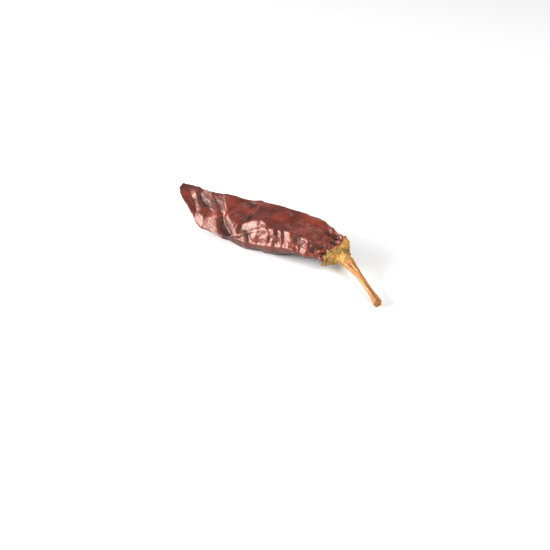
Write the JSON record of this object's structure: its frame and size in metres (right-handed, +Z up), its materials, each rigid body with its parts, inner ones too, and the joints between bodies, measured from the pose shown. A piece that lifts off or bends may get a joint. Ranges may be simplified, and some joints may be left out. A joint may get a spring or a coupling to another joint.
{
  "type": "dried chilli pepper",
  "caption": "Dried red chilli pod lying on its side, flattened, creased and leathery, with a lobed straw-coloured calyx and a curved ribbed stem.",
  "frame": {"origin": "on the flat spot under the pod, in the surface that the pepper rests on", "axes": "+X along the pod from its tip towards the calyx, +Z up from the surface, -Y towards the side that the stem curves to"},
  "size_m": [0.1633, 0.0527, 0.0265],
  "materials": {
    "skin": "dark brown-red dried skin, glossy on the crests and darker in the folds",
    "calyx": "rough dry olive-straw calyx",
    "stem": "straw-orange dried stem, ribbed along its length, with a low sheen"
  },
  "bodies": {
    "root": {"pod": "skin", "calyx": "calyx", "stem": "stem"}
  },
  "joints": []
}
